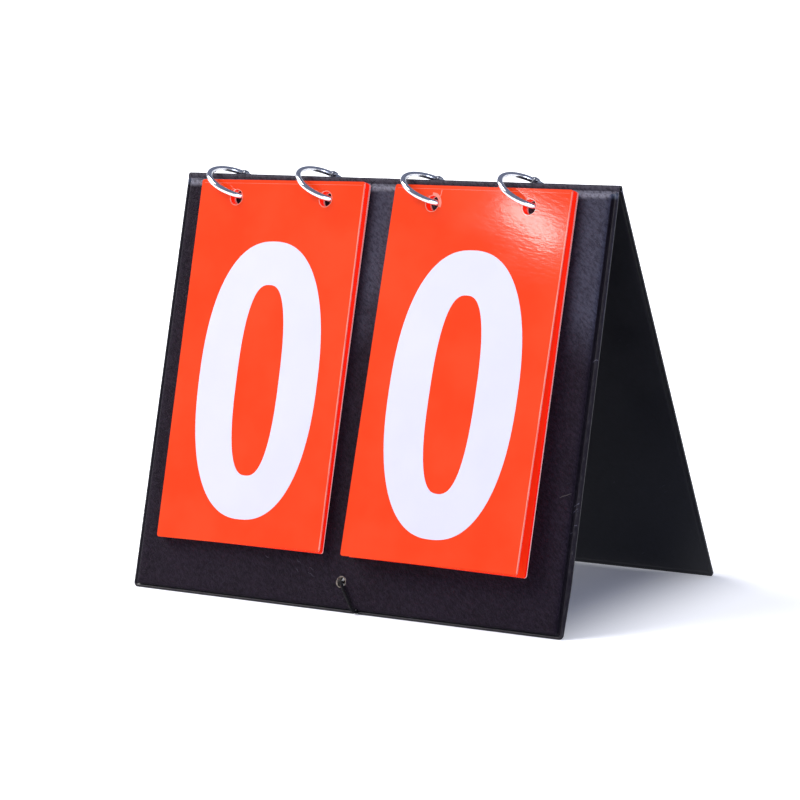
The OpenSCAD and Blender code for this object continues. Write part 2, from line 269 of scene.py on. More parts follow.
def leatheretteMaterial(name, look, grainShare=1.0):
    material, add, place = newMaterial(name)
    press = pressedGrain
    wander = add("TexNoise", {**press["wander"], "Vector": place})["Color"]
    bent = add("VectorMath", {**multiplyAdd, 0: wander, 1: press["bend"], 2: place})[0]
    grain = add("TexVoronoi", {"Scale": cellsPer(look["grain"]), "Vector": bent})["Distance"]
    crease = add("TexVoronoi", {"Scale": cellsPer(look["crease"]), "Vector": bent})["Distance"]
    fine = add("TexNoise", {**press["fine"], "Vector": place})[0]
    pebbles = add("MapRange", {**press["furrow"], 0: grain})[0]
    folds = add("MapRange", {**press["fold"], 0: crease})[0]
    relief = add("Math", {**multiplyAdd, 0: folds, 1: press["foldShare"], 2: pebbles})[0]
    relief = add("Math", {**multiplyAdd, 0: fine, 1: press["fineShare"], 2: relief})[0]
    bump = add("Bump", {"Strength": grainShare, "Distance": look["grainDepth"] * mm, "Height": relief})[0]
    cloud = add("TexNoise", {"Scale": cellsPer(look["cloud"]), "Detail": 4.0, "Vector": place})[0]
    drawn = add("Mapping", {**press["mottleSlant"], "Vector": place})[0]
    mottle = add("TexNoise", {**press["mottle"], "Vector": drawn})[0]
    speckle = add("MapRange", {**press["speckle"], 0: mottle})[0]
    clouded = add("MapRange", {**soft, 0: cloud})[0]
    share = add("Math", {**multiplyAdd, 0: clouded, 1: press["cloudShare"], 2: speckle})[0]
    tone = add("Mix", {0: share, 6: look["dark"], 7: look["light"]})[2]
    # painted sheen: a paler band mixed in just below the board's top edge, standing in for the light that the
    # padded shoulder catches
    if "paintedSheen" in look:
        edge = onFront([(0.0, -board["hingePlay"], 0.0)])[0][2] / mm
        split = add("SeparateXYZ", {0: place})
        above = add("Math", {**multiplyAdd, 0: split[2], 1: 1 / mm, 2: -edge})[0]
        rise = add("MapRange", {**paintedSheenBand["rise"], 0: above})[0]
        fall = add("MapRange", {**paintedSheenBand["fall"], 0: above})[0]
        band = add("Math", {0: rise, 1: fall})[0]
        broken = add("MapRange", {**paintedSheenBand["broken"], 0: mottle})[0]
        shine = add("Math", {0: band, 1: broken})[0]
        tone = add("Mix", {0: shine, 6: tone, 7: look["paintedSheen"]})[2]
    # a painted sheen patch: a lighter tone mixed in over the upper front board, standing in for the broad
    # light that it reflects
    if "paintedSheenPatch" in look:
        # the painted sheen is left out close beside each stack, a painted shadow where the stack keeps the
        # light off, and there is none left of the stacks
        across = add("Math", {**multiplyAdd, 0: split[0], 1: 1 / mm, 2: paintedSheenPatchArea["start"]})[0]
        beside = add("Math", {"operation": "MODULO", 0: across, 1: paintedSheenPatchArea["stackPitch"]})[0]
        clear = add("MapRange", {**paintedSheenPatchArea["beside"], 0: beside})[0]
        uneven = add("Math", {**multiplyAdd, 0: cloud, 1: paintedSheenPatchArea["wander"], 2: above})[0]
        broken = add("MapRange", {**paintedSheenPatchArea["broken"], 0: mottle})[0]
        offBand = add("Math", {"operation": "SUBTRACT", 0: 1.0, 1: band})[0]
        paintedSheenShare = add("MapRange", {**paintedSheenPatchArea["rise"], 0: uneven})[0]
        for part in (broken, clear, offBand):
            paintedSheenShare = add("Math", {0: paintedSheenShare, 1: part})[0]
        tone = add("Mix", {0: paintedSheenShare, 6: tone, 7: look["paintedSheenPatch"]})[2]
    stretched = add("Mapping", {**press["scratchSlant"], "Vector": place})[0]
    scratch = add("TexNoise", {**press["scratch"], "Vector": stretched})[0]
    patch = add("TexNoise", {**press["patch"], "Vector": place})[0]
    scratches = add("MapRange", {**press["scratchRange"], 0: scratch})[0]
    patches = add("MapRange", {**press["patchRange"], 0: patch})[0]
    scuffed = add("Math", {0: scratches, 1: patches})[0]
    return finishMaterial(material, {
        "Specular IOR Level": look["specular"],
        "IOR": 1.53,
        "Base Color": add("Mix", {0: scuffed, 6: tone, 7: look["scuff"]})[2],
        "Roughness": add("MapRange", {**press["sheen"], **look["roughness"], 0: cloud})[0],
        "Normal": bump,
    })


# Rigid PVC sheet, calendered and printed over: even orange-red with a clear gloss, and shallow ripples along
# the sheet that break up its highlight; the white core shows pink where the die has cut it
cardSheet = {
    "face": "#FF4310",
    "faceWarm": "#FF4C1E",
    "edge": "#FFDAD6",
    "cloud": {"Scale": cellsPer(30.0), "Detail": 3.0},
    "roughness": {**soft, 3: 0.07, 4: 0.10},
    "smear": {"Scale": cellsPer(11.0), "Detail": 2.0},
    "slant": {"Rotation": (0.0, math.radians(10), 0.0), "Scale": (3.5, 1.0, 1.0)},
    "ripple": {"Scale": cellsPer(1.3), "Detail": 2.5, "Roughness": 0.55},
    "rippleDepth": 0.012,
    "cutEdge": {1: 0.9, 2: 0.7},  # over 0.9 a face looks out and is printed, under 0.7 it is a cut edge
}
# the cards between: their cut edges are painted red and given a painted glow, standing in for the light that
# the dyed sheet pipes out through them, so the side of the stack glows a clear red even in shade; a weaker
# painted glow on their faces stands in for the red light that the front card lets through onto the next face
innerSheet = {**cardSheet, "edge": "#FF1A10", "glow": 0.45, "paintedFaceGlow": 0.25}
# the rear cards of a stack stand clear of it, and their white core shows; their cut edges are given a painted
# glow in that colour
rearSheet = {**cardSheet, "edge": "#FFC0BC", "glow": 0.3, "paintedFaceGlow": 0.0}
# where the die has creased the sheet or torn it a little, the white core shows through the print
bruisedSheet = {**cardSheet, "face": "#FF8A72", "faceWarm": "#FFA08C", "edge": "#FFA08C"}


def cardMaterial(name, look):
    material, add, place = newMaterial(name)
    normal = add("TexCoord")["Normal"]
    facing = add("VectorMath", {"operation": "DOT_PRODUCT", 0: normal, 1: outward})["Value"]
    either = add("Math", {"operation": "ABSOLUTE", 0: facing})[0]
    cut = add("MapRange", {**look["cutEdge"], 0: either})[0]
    cloud = add("TexNoise", {**look["cloud"], "Vector": place})[0]
    clouded = add("MapRange", {**soft, 0: cloud})[0]
    face = add("Mix", {0: clouded, 6: look["face"], 7: look["faceWarm"]})[2]
    slanted = add("Mapping", {**look["slant"], "Vector": place})[0]
    ripple = add("TexNoise", {**look["ripple"], "Vector": slanted})[0]
    smear = add("TexNoise", {**look["smear"], "Vector": slanted})[0]
    surface = {
        "IOR": 1.54,
        "Base Color": add("Mix", {0: cut, 6: face, 7: look["edge"]})[2],
        "Roughness": add("MapRange", {**look["roughness"], 0: smear})[0],
        "Normal": add("Bump", {"Strength": 1.0, "Distance": look["rippleDepth"] * mm, "Height": ripple})[0],
    }
    # a painted glow: the cut edges, and more weakly the faces, give out light in the edge colour, though no
    # lamp is there
    if "glow" in look:
        glow = {0: cut, 3: look["paintedFaceGlow"], 4: look["glow"]}
        surface["Emission Color"] = look["edge"]
        surface["Emission Strength"] = add("MapRange", glow)[0]
    return finishMaterial(material, surface)


# Screen-print ink, a matt film a few hundredths of a millimetre thick: bluish white with faint mesh marks
printInk = {
    "pale": "#E3E2F0",
    "white": "#E8E7F4",
    "roughness": {**soft, 3: 0.37, 4: 0.47},
    "cloud": {"Scale": cellsPer(18.0), "Detail": 3.0},
    "mesh": {"Scale": cellsPer(0.45), "Detail": 1.0},
    "meshDepth": 0.004,
}


def inkMaterial(name, look):
    material, add, place = newMaterial(name)
    cloud = add("TexNoise", {**look["cloud"], "Vector": place})[0]
    weave = add("TexNoise", {**look["mesh"], "Vector": place})[0]
    return finishMaterial(material, {
        "IOR": 1.5,
        "Specular IOR Level": 0.25,
        "Base Color": add("Mix", {0: cloud, 6: look["pale"], 7: look["white"]})[2],
        "Roughness": add("MapRange", {**look["roughness"], 0: cloud})[0],
        "Normal": add("Bump", {"Strength": 0.5, "Distance": look["meshDepth"] * mm, "Height": weave})[0],
    })


# Bright nickel plate on drawn steel wire: mirror-like, very slightly uneven, with dull spots
nickelPlate = {"bright": "#E4E5E8", "dull": "#C6C8CE", "roughness": {3: 0.09, 4: 0.24}, "unevenSize": 0.25}

# Turned steel pin, plain and less bright than the plated wire
turnedSteel = {"bright": "#B4B6BB", "dull": "#8E9096", "roughness": {3: 0.23, 4: 0.38}, "unevenSize": 0.12}

metalWear = {
    "spots": {"Scale": cellsPer(1.8), "Detail": 4.0, "Roughness": 0.6},
    "dulled": {1: 0.45, 2: 0.75},
    "roughened": {1: 0.35, 2: 0.75},
    "depth": 0.004,  # of the unevenness
}


def metalMaterial(name, look):
    material, add, place = newMaterial(name)
    place = place
    spots = add("TexNoise", {**metalWear["spots"], "Vector": place})[0]
    uneven = add("TexNoise", {"Scale": cellsPer(look["unevenSize"]), "Detail": 2.0, "Vector": place})[0]
    dulled = add("MapRange", {**metalWear["dulled"], 0: spots})[0]
    return finishMaterial(material, {
        "Metallic": 1.0,
        "Base Color": add("Mix", {0: dulled, 6: look["bright"], 7: look["dull"]})[2],
        "Roughness": add("MapRange", {**metalWear["roughened"], **look["roughness"], 0: spots})[0],
        "Normal": add("Bump", {"Strength": 0.3, "Distance": metalWear["depth"] * mm, "Height": uneven})[0],
    })


# Recycled-paper board, pressed from grey pulp: matt, speckled with darker fibres
greyboard = {
    "low": "#6C645A",
    "high": "#8F867A",
    "fibres": {"Scale": cellsPer(0.5), "Detail": 5.0, "Roughness": 0.7},
    "spread": {1: 0.4, 2: 0.6},
    "depth": 0.08,
    "surface": {"Roughness": 0.92, "IOR": 1.45},
}

# Braided cotton cord, dyed black: matt, fibres catch a little light on the crowns of the strands
cordYarn = {
    "low": "#060608",
    "high": "#17161A",
    "fibres": {"Scale": cellsPer(0.3), "Detail": 3.0, "Roughness": 0.7},
    "spread": {1: 0.35, 2: 0.65},
    "depth": 0.05,
    "surface": {"Roughness": 0.9, "Sheen Weight": 0.04, "Specular IOR Level": 0.15},
}


def fibreMaterial(name, look):
    material, add, place = newMaterial(name)
    fibres = add("TexNoise", {**look["fibres"], "Vector": place})[0]
    share = add("MapRange", {**look["spread"], 0: fibres})[0]
    return finishMaterial(material, {
        **look["surface"],
        "Base Color": add("Mix", {0: share, 6: look["low"], 7: look["high"]})[2],
        "Normal": add("Bump", {"Strength": 0.8, "Distance": look["depth"] * mm, "Height": fibres})[0],
    })


coverVinyl = leatheretteMaterial("embossedLeatherette", leatherette)
frontVinyl = leatheretteMaterial("paintedSheenPatchedLeatherette", paintedSheenPatchedLeatherette)
scuffedVinyl = leatheretteMaterial("scuffedLeatherette", scuffedLeatherette, 0.4)
foldedVinyl = leatheretteMaterial("creasedLeatherette", creasedLeatherette, 0.4)
rimVinyl = leatheretteMaterial("weldedLeatheretteRim", weldedRim, 0.4)
liningVinyl = leatheretteMaterial("smoothLiningVinyl", liningFilm, 0.5)
cardPvc = cardMaterial("printedCardPvc", cardSheet)
innerPvc = cardMaterial("shadedCardPvc", innerSheet)
rearPvc = cardMaterial("rearPvcSheet", rearSheet)
bruisedPvc = cardMaterial("bruisedCardPvc", bruisedSheet)
inkWhite = inkMaterial("screenPrintInk", printInk)
nickel = metalMaterial("nickelPlatedWire", nickelPlate)
pinSteel = metalMaterial("turnedPinSteel", turnedSteel)
pulpBoard = fibreMaterial("pressedGreyboard", greyboard)
cordCotton = fibreMaterial("braidedCottonCord", cordYarn)
print("materials made")


# The spreader cord and its two loops round the feet, along the same points as the CAD cords, in mm
cord = {
    "diameter": 1.4,
    "sides": 16,
    "step": 0.28,  # between rings of the tube
    "strands": 4,
    "strandDepth": 0.05,
    "strandPitch": 5.0,
    "holeX": 1.2,
    "holeRise": 13.0,
    "knotSize": 5.2,
    "knotClear": 0.2,  # from a knot to its board
    "knotShare": 0.8,  # the cord is drawn thin in its knot
    "spanSag": 1.5,
    "spanSteps": 12,
    "spanClear": 0.1,  # from a knot to the stretch between them
    "slackTip": 5.8,  # degrees
}
loopRoute = [  # x, height above the foot along the board, n
    (1.2, 13, -1), (1.2, 13, 1.2), (1.4, 12.9, 2.7), (2, 12.2, 3.7), (3.2, 10.6, 4), (5, 8, 4),
    (7, 5.4, 4), (8.6, 3, 4), (9.4, 1.8, 3.7), (9.7, 0.9, 2.9), (9.8, 0.6, 1.9),
    (9.8, 0.6, 0.8), (9.8, 1, -0.3), (9.5, 1.6, -1.2), (8.4, 3.4, -1.3), (6.4, 6.4, -1.3),
    (4.2, 9.4, -1.4), (2.8, 11.2, -2),
]


def smoothRoute(points, step):
    # a Catmull-Rom line through the points, with a new point every step
    p = np.asarray(points, float)
    p = np.vstack([2 * p[0] - p[1], p, 2 * p[-1] - p[-2]])
    line = []
    for i in range(1, len(p) - 2):
        count = max(2, int(np.linalg.norm(p[i + 1] - p[i]) / step))
        for t in np.arange(count) / count:
            line.append(0.5 * (
                2 * p[i] + (p[i + 1] - p[i - 1]) * t
                + (2 * p[i - 1] - 5 * p[i] + 4 * p[i + 1] - p[i + 2]) * t * t
                + (3 * p[i] - p[i - 1] - 3 * p[i + 1] + p[i + 2]) * t ** 3
            ))
    line.append(p[-2])
    return np.array(line)


def headings(line, closed):
    # the way the line runs at each of its points
    ahead = np.roll(line, -1, 0) - np.roll(line, 1, 0)
    if not closed:
        ahead[0], ahead[-1] = line[1] - line[0], line[-1] - line[-2]
    return ahead / np.linalg.norm(ahead, axis=1)[:, None]


def braidedTube(name, line, diameter, material, closed=False):
    # a tube whose skin rises and falls as the strands of a round braid cross; line is in metres
    count, sides = len(line), cord["sides"]
    ahead = headings(line, closed)
    side = np.cross(ahead[0], (0.31, 0.2, 0.93))  # a direction that no cord starts along
    along = 0.0
    rings = []
    for i in range(count):
        side = side - ahead[i] * (side @ ahead[i])
        side /= np.linalg.norm(side)
        if i:
            along += np.linalg.norm(line[i] - line[i - 1])
        other = np.cross(ahead[i], side)
        turn = 2 * math.pi * np.arange(sides) / sides
        wind = 2 * math.pi * along / (cord["strandPitch"] * mm)
        skin = np.maximum(np.cos(cord["strands"] * turn + wind), np.cos(cord["strands"] * turn - wind))
        radius = diameter / 2 - cord["strandDepth"] * mm * (1 - skin)
        around = np.cos(turn)[:, None] * side + np.sin(turn)[:, None] * other
        rings.append(line[i] + radius[:, None] * around)
    return makeMesh(name, np.vstack(rings), ringFaces(count, sides, closed), material, 70.0)


def knotLine(centre, size, thickness):
    # an overhand knot drawn tight, as a trefoil that fits the knot's size
    t = 2 * math.pi * np.arange(90) / 90
    depth, reach = 1.6, 3.05  # of the trefoil before it is scaled
    trefoil = np.column_stack([
        np.sin(t) + 2 * np.sin(2 * t), -depth * np.sin(3 * t), np.cos(t) - 2 * np.cos(2 * t)
    ])
    return centre + trefoil * (size - thickness) / 2 / reach


def makeCords():
    d = cord["diameter"] * mm
    thin = d * cord["knotShare"]
    knotIn = cord["knotSize"] / 2 + cord["knotClear"]
    knotPlace = [(cord["holeX"], cord["holeRise"] - board["height"], -knotIn)]
    made = {}
    for side, place in (("front", onFront), ("rear", onRear)):
        route = [(x, rise - board["height"], n) for x, rise, n in loopRoute]
        line = place(smoothRoute(route, cord["step"]))
        loop = braidedTube(side + "_cord_loop_braid", line, d, cordCotton)
        tied = knotLine(place(knotPlace), cord["knotSize"] * mm, thin)
        knot = braidedTube(side + "_cord_knot", tied, thin, cordCotton, True)
        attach(loop, side + "_board")
        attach(knot, side + "_board")
        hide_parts(side + "_cord_loop")
        made[side] = place(knotPlace)[0]
    reach = cord["knotSize"] / 2 * mm + cord["spanClear"] * mm
    steps = np.arange(cord["spanSteps"] + 1) / cord["spanSteps"]
    startY, endY = made["front"][1] + reach, made["rear"][1] - reach
    span = np.column_stack([
        cord["holeX"] * mm * (1 - 2 * steps),
        startY + (endY - startY) * steps,
        made["front"][2] - cord["spanSag"] * mm * 4 * steps * (1 - steps),
    ])
    line = smoothRoute(span, cord["step"] * mm)
    spreader = braidedTube("spreader_cord_braid", line, d, cordCotton)
    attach(spreader, "front_board")
    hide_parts("spreader_cord")
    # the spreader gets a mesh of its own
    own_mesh(spreader)


makeCords()
print("cords laid")


# The welded sheets of the boards, in mm
cover = {
    "endRim": 2.6,
    "footRim": 2.0,
    "hingeRim": 1.0,
    "rimHeight": 0.8,
    "beadWidth": 1.5,
    "beadHeight": 1.3,
    "padCorner": 1.0,
    "shoulder": 6.0,  # how far in from its edge the padded face is still rising
    "rise": (4, 0.257),  # powers that round the shoulder
    "sheet": 0.5,
    "lining": 0.4,
    "skin": 0.02,  # between faces that would touch
    "footCorner": 2.5,
    "hingeCorner": 1.5,
    "wave": 0.07,  # height of the slow waves in the padded face
    "waveSizes": (38.0, 15.0),
    "pull": 0.2,  # height of the short slanting wrinkles by the hinge
    "pullSize": 14.0,
    "pullReach": (34.0, 4.0),  # down from the hinge: where they end and where they are full
    "groove": {"depth": 0.16, "in": 1.9, "width": 0.55},  # round the inner side
    "liningWave": 0.05,
    "liningWaveSize": 42.0,
    "flash": (-170.6, 2.6, 0.9),  # place up the right edge, length and reach of the weld's flash
    "seeds": {"cover": 11.0, "lining": 5.0, "rear": 20.0},  # the rear board adds its own to the others
}
ringHoles = {"x": [-82.0, -30.0, 30.0, 82.0], "drop": 8.2, "diameter": 8.0}
cordHole = {"x": cord["holeX"], "rise": cord["holeRise"], "diameter": 4.6}
footNick = {"x": 9.8, "rise": 0.7, "width": 2.6}
nickTop = -board["height"] + footNick["rise"]
grid = {
    "step": 1.6,
    "nearStep": 0.8,  # near the ring holes and the right end
    "endBand": (5.2, 0.26),  # width of a band of close lines along the edge, and their step
    "footBand": (4.8, 0.24),
    "steep": np.array([0.0, 0.02, 0.06, 0.14]),  # close lines where the padded face starts to rise
}


def inward(x, y, endIn, footIn, topIn, radius):
    # distance in from the edge of a board's outline, drawn in by the three widths
    half = board["width"] / 2 - endIn
    low, high = footY + footIn, -board["hingePlay"] - topIn
    across = np.abs(x) - (half - radius)
    up = np.abs(y - (low + high) / 2) - ((high - low) / 2 - radius)
    outside = np.hypot(np.maximum(across, 0), np.maximum(up, 0))
    return radius - outside - np.minimum(np.maximum(across, up), 0)


def padInward(x, y):
    return inward(x, y, cover["endRim"], cover["footRim"], cover["hingeRim"], cover["padCorner"])


def nickDistance(x, y):
    return np.hypot(x - footNick["x"], np.maximum(y - nickTop, 0)) - footNick["width"] / 2


def smoothStep(value, low, high):
    t = np.clip((value - low) / (high - low), 0, 1)
    return t * t * (3 - 2 * t)


def slowNoise(x, y, size, seed):
    return np.array([noise.noise(Vector((a / size, b / size, seed))) for a, b in zip(x, y)])


def coverTop(x, y, seed):
    rim = cover["rimHeight"]
    edge = inward(x, y, 0, 0, -board["height"], cover["footCorner"])
    middle = cover["beadWidth"] / 2
    bead = rim + (cover["beadHeight"] - rim) * np.sqrt(np.clip(1 - ((edge - middle) / middle) ** 2, 0, 1))
    padIn = padInward(x, y)
    t = np.clip(padIn / cover["shoulder"], 0, 1)
    inner, outer = cover["rise"]
    pad = rim + (board["thickness"] - rim) * (1 - (1 - t) ** inner) ** outer
    wide, narrow = cover["waveSizes"]
    wave = cover["wave"] * (slowNoise(x, y, wide, seed) + 0.5 * slowNoise(x, y, narrow, seed + 3) - 0.4)
    pull = slowNoise(x + 0.8 * y, 4.0 * (y - 0.5 * x), cover["pullSize"], seed + 7)  # drawn out on a slant
    pulled = cover["pull"] * pull * smoothStep(-y, *cover["pullReach"]) * smoothStep(padIn, 0.5, 3.0)
    return np.maximum(np.where(padIn > 0, pad, rim), bead) + (wave + pulled) * smoothStep(padIn, 1.0, 6.0)


def coverUnder(x, y):
    inPocket = smoothStep(padInward(x, y), 0.5, 0.9)
    pocket = board["thickness"] - cover["sheet"] - cover["lining"] - cover["skin"]
    return cover["lining"] + cover["skin"] + inPocket * pocket


def liningInner(x, y, seed):
    # the press leaves a shallow weld line round the inner side too
    edge = inward(x, y, 0, 0, 0, cover["footCorner"])
    weld = cover["groove"]
    groove = weld["depth"] * np.exp(-((edge - weld["in"]) / weld["width"]) ** 2)
    slow = slowNoise(x, y, cover["liningWaveSize"], seed)
    return cover["skin"] + groove - cover["liningWave"] * (slow + 1) * smoothStep(edge, 3.0, 9.0)


def spacedLines(low, high, band, extra):
    # grid lines, close together beside the two ends and where extra ones are wanted
    width, fineStep = band
    count = int(round(width / fineStep))
    middle = np.linspace(low + width, high - width, int((high - low - 2 * width) / grid["step"]) + 1)
    fine = np.arange(count) * fineStep
    return np.unique(np.round(np.concatenate([low + fine, middle, high - fine[::-1], extra]), 3))


def roundOutline(mirrored):
    # the board's outline with its rounded corners and the nick that the cord has pressed into the foot
    half, high = board["width"] / 2, -board["hingePlay"]
    points = []

    def arc(cx, cy, radius, start, end, count):
        for t in np.linspace(math.radians(start), math.radians(end), count):
            points.append((cx + radius * math.cos(t), cy + radius * math.sin(t)))

    r, h, w = cover["footCorner"], cover["hingeCorner"], footNick["width"] / 2
    arc(-half + r, footY + r, r, 180, 270, 12)
    points += [(x, footY) for x in np.arange(-half + r + 2, footNick["x"] - w - 1, 2.0)]
    points.append((footNick["x"] - w, footY))
    arc(footNick["x"], nickTop, w, 180, 0, 14)
    points.append((footNick["x"] + w, footY))
    points += [(x, footY) for x in np.arange(footNick["x"] + w + 2, half - r - 1, 2.0)]
    arc(half - r, footY + r, r, 270, 360, 12)
    at, length, reach = cover["flash"]
    for y in np.arange(footY + r + 2, high - h - 1, 2.0):
        points.append((half + (0 if mirrored else reach * math.exp(-((y - at) / length) ** 2)), y))
    arc(half - h, high - h, h, 0, 90, 8)
    points += [(x, high) for x in np.arange(half - h - 2, -half + h + 1, -2.0)]
    arc(-half + h, high - h, h, 90, 180, 8)
    points += [(-half, y) for y in np.arange(high - h - 2, footY + r + 1, -2.0)]
    return points


def weldedSheet(name, side, top, under, material, rimMaterial):
    # a solid sheet with real holes: one layer of points for each side, joined round its edges
    mirrored = side == "rear"
    sign = -1 if mirrored else 1
    loops = [roundOutline(mirrored)]
    circles = [(sign * x, -ringHoles["drop"], ringHoles["diameter"] / 2) for x in ringHoles["x"]]
    circles.append((cordHole["x"], cordHole["rise"] - board["height"], cordHole["diameter"] / 2))
    for cx, cy, radius in circles:
        turn = 2 * math.pi * np.arange(40) / 40
        loops.append([(cx + radius * math.cos(t), cy + radius * math.sin(t)) for t in turn])
    half, high, near = board["width"] / 2, -board["hingePlay"], grid["nearStep"]
    endLines = half - cover["endRim"] - grid["steep"]
    hingeLines = high - cover["hingeRim"] - grid["steep"]
    footLines = footY + cover["footRim"] + grid["steep"]
    extraX = [*np.arange(half - 22, half - 5, near), *endLines, *-endLines]
    extraY = [*np.arange(-24, -5, near), *hingeLines, *footLines]
    xLines = spacedLines(-half, half, grid["endBand"], extraX)
    yLines = spacedLines(footY, high, grid["footBand"], extraY)
    gx, gy = (g.ravel() for g in np.meshgrid(xLines, yLines))
    keep = (inward(gx, gy, 0, 0, 0, cover["footCorner"]) > 0.1) & (nickDistance(gx, gy) > 0.12)
    for cx, cy, radius in circles:
        keep &= np.hypot(gx - cx, gy - cy) > radius + 0.25
    points = list(zip(gx[keep], gy[keep]))
    edges = []
    for loop in loops:
        start = len(points)
        points += loop
        edges += [(start + i, start + (i + 1) % len(loop)) for i in range(len(loop))]
    flat, _, faces, *_ = delaunay_2d_cdt([Vector(p) for p in points], edges, [], 0, 1e-5, False)
    xy = np.array([tuple(v) for v in flat])
    tri = np.array(faces)
    centre = xy[tri].mean(1)
    inside = nickDistance(*centre.T) > 0
    for cx, cy, radius in circles:
        inside &= np.hypot(*(centre - (cx, cy)).T) > radius
    tri = tri[inside]
    directed = np.vstack([tri[:, [0, 1]], tri[:, [1, 2]], tri[:, [2, 0]]])
    _, first, seen = np.unique(np.sort(directed, axis=1), axis=0, return_index=True, return_counts=True)
    rim = directed[first[seen == 1]]
    x, y = xy.T
    upper = np.column_stack([x, y, top(x, y)])
    lower = np.column_stack([x, y, under(x, y)])
    place = onRear if mirrored else onFront
    verts = place(np.vstack([upper, lower]))
    verts[:, 2] = np.maximum(verts[:, 2], 0)  # the foot is worn flat on the table
    count = len(xy)
    walls = [(b, a, a + count, b + count) for a, b in rim]
    piece = makeMesh(name, verts, [*tri.tolist(), *(tri[:, ::-1] + count).tolist(), *walls], material, 80.0)
    piece.data.materials.append(rimMaterial)
    pressed = padInward(*centre[inside].T) < 0.1
    for i in np.nonzero(pressed)[0]:
        piece.data.polygons[int(i)].material_index = 1
    return piece


def makeBoards():
    seeds = cover["seeds"]
    for side, material, added in (("front", frontVinyl, 0.0), ("rear", coverVinyl, seeds["rear"])):
        outer = weldedSheet(
            side + "_cover_sheet", side,
            lambda x, y: coverTop(x, y, seeds["cover"] + added), coverUnder, material, rimVinyl,
        )
        inner = weldedSheet(
            side + "_lining_sheet", side,
            lambda x, y: np.full(len(x), cover["lining"]),
            lambda x, y: liningInner(x, y, seeds["lining"] + added), liningVinyl, liningVinyl,
        )
        for piece, node, slotName in ((outer, "cover", "cover_vinyl"), (inner, "lining", "lining_vinyl")):
            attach(piece, side + "_board")
            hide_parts(side + "_" + node)


makeBoards()
print("boards covered")


# The spine: one sheet over both hinges, in a front and a rear half that meet at the crown, in mm
spine = {
    "leg": 0.8,
    "outer": 1.65,
    "sheet": 0.42,
    "liningOuter": 1.15,
    "lining": 0.36,
    "onRim": 1.0,  # how far the sheet runs down onto a board's hinge rim
    "overRim": (0.06, 0.09),  # above the rim, at the sheet's foot and at the board's edge
    "sections": 241,
    "wrinkle": 0.10,
    "wrinkleSizes": (7.0, 2.6),  # along the ridge
    "wrinkleShare": (0.6, 0.05),  # what is kept of the wrinkles, and how far all of them are set in
}


def spineHalf(name, outer, thick, material, rear, reachDown):
    # cross-section from the board's rim over the hinge and up to the crown, as (y, z) in mm
    overFoot, overEdge = (cover["rimHeight"] + over for over in spine["overRim"])
    foot = onFront([(0, -board["hingePlay"] - reachDown, overFoot)])[0][1:] / mm
    edge = onFront([(0, -board["hingePlay"], overEdge)])[0][1:] / mm
    base = hingeZ + board["hingePlay"]
    path = [foot, (foot + edge) / 2, edge] if reachDown else []
    path += [np.array([midY - outer, base + 0.1]), np.array([midY - outer, base + spine["leg"] / 2])]
    for t in np.linspace(180, 90, 10):
        turn = math.radians(t)
        path.append(np.array([midY + outer * math.cos(turn), base + spine["leg"] + outer * math.sin(turn)]))
    path = np.array(path)
    ahead = np.gradient(path, axis=0)
    ahead /= np.linalg.norm(ahead, axis=1)[:, None]
    inside = np.column_stack([ahead[:, 1], -ahead[:, 0]])
    inside[-1] = (0, -1)
    half = board["width"] / 2
    wide, narrow = spine["wrinkleSizes"]
    share, setIn = spine["wrinkleShare"]
    xs = np.linspace(-half, half, spine["sections"])
    verts = []
    for x in xs:
        near = min(1.0, (half - abs(x)) / 3)  # the wrinkles die out over the last 3 mm
        lift = spine["wrinkle"] * near * np.array([
            noise.noise(Vector((x / wide, k * 0.35, 2.0)))
            + 0.6 * noise.noise(Vector((x / narrow, k * 0.3, 9.0)))
            for k in range(len(path))
        ])
        lift = lift * np.linspace(0.4, 1, len(path)) * share - setIn
        line = np.vstack([path - inside * lift[:, None], (path + inside * thick)[::-1]])
        if rear:
            line[:, 0] = 2 * midY - line[:, 0]
        verts += [(x * mm, y * mm, z * mm) for y, z in line]
    faces = ringFaces(len(xs), 2 * len(path))
    if rear:
        faces = [tuple(reversed(tuple(f))) for f in faces]
    piece = makeMesh(name, verts, faces, material, 60.0)
    line = (midY + outer if rear else midY - outer) * mm
    if rear:
        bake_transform(piece)
    else:
        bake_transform(piece)
    return piece


def makeSpine():
    for rear in (False, True):
        side = "rear" if rear else "front"
        skin = spineHalf(
            "spine_cover_" + side, spine["outer"], spine["sheet"], coverVinyl, rear, spine["onRim"]
        )
        inner = spineHalf("spine_lining_" + side, spine["liningOuter"], spine["lining"], liningVinyl, rear, 0)
        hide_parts("spine_cover")
        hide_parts("spine_lining")


makeSpine()
print("spine folded")


# The cards keep their CAD shapes; the numerals lie on them as a film of ink, in mm
numeral = {
    "width": 68.6,
    "height": 127.5,
    "sideStroke": 22.0,
    "topStroke": 20.0,
    "squareness": 2.35,
    "innerSquareness": 2.6,
    "oneShare": 0.55,  # width of the 1 as a share of the others'
    "below": 28.3,  # from the card's top edge to the numeral's top
    "film": 0.02,
    "clear": 0.004,  # between card and film
}


def cardFrame(node):
    # a card's own axes, right, up and out, and the middle of its top edge, read from its mesh
    mesh = nodes[node].data
    faces = [p for p in mesh.polygons if p.normal.dot(Vector(outward)) > 0.9]
    n = max(faces, key=lambda p: p.area).normal.copy()
    walls = [p for p in mesh.polygons if abs(p.normal.dot(n)) < 0.1 and p.normal.x > 0.9]
    across = max(walls, key=lambda p: p.area).normal.copy()
    up = n.cross(across).normalized()
    axes = np.array([tuple(across), tuple(up), tuple(n)])
    places = np.array([tuple(v.co) for v in mesh.vertices]) @ axes.T
    low, high = places.min(0), places.max(0)
    return axes, np.array([(low[0] + high[0]) / 2, high[1], high[2]]) @ axes


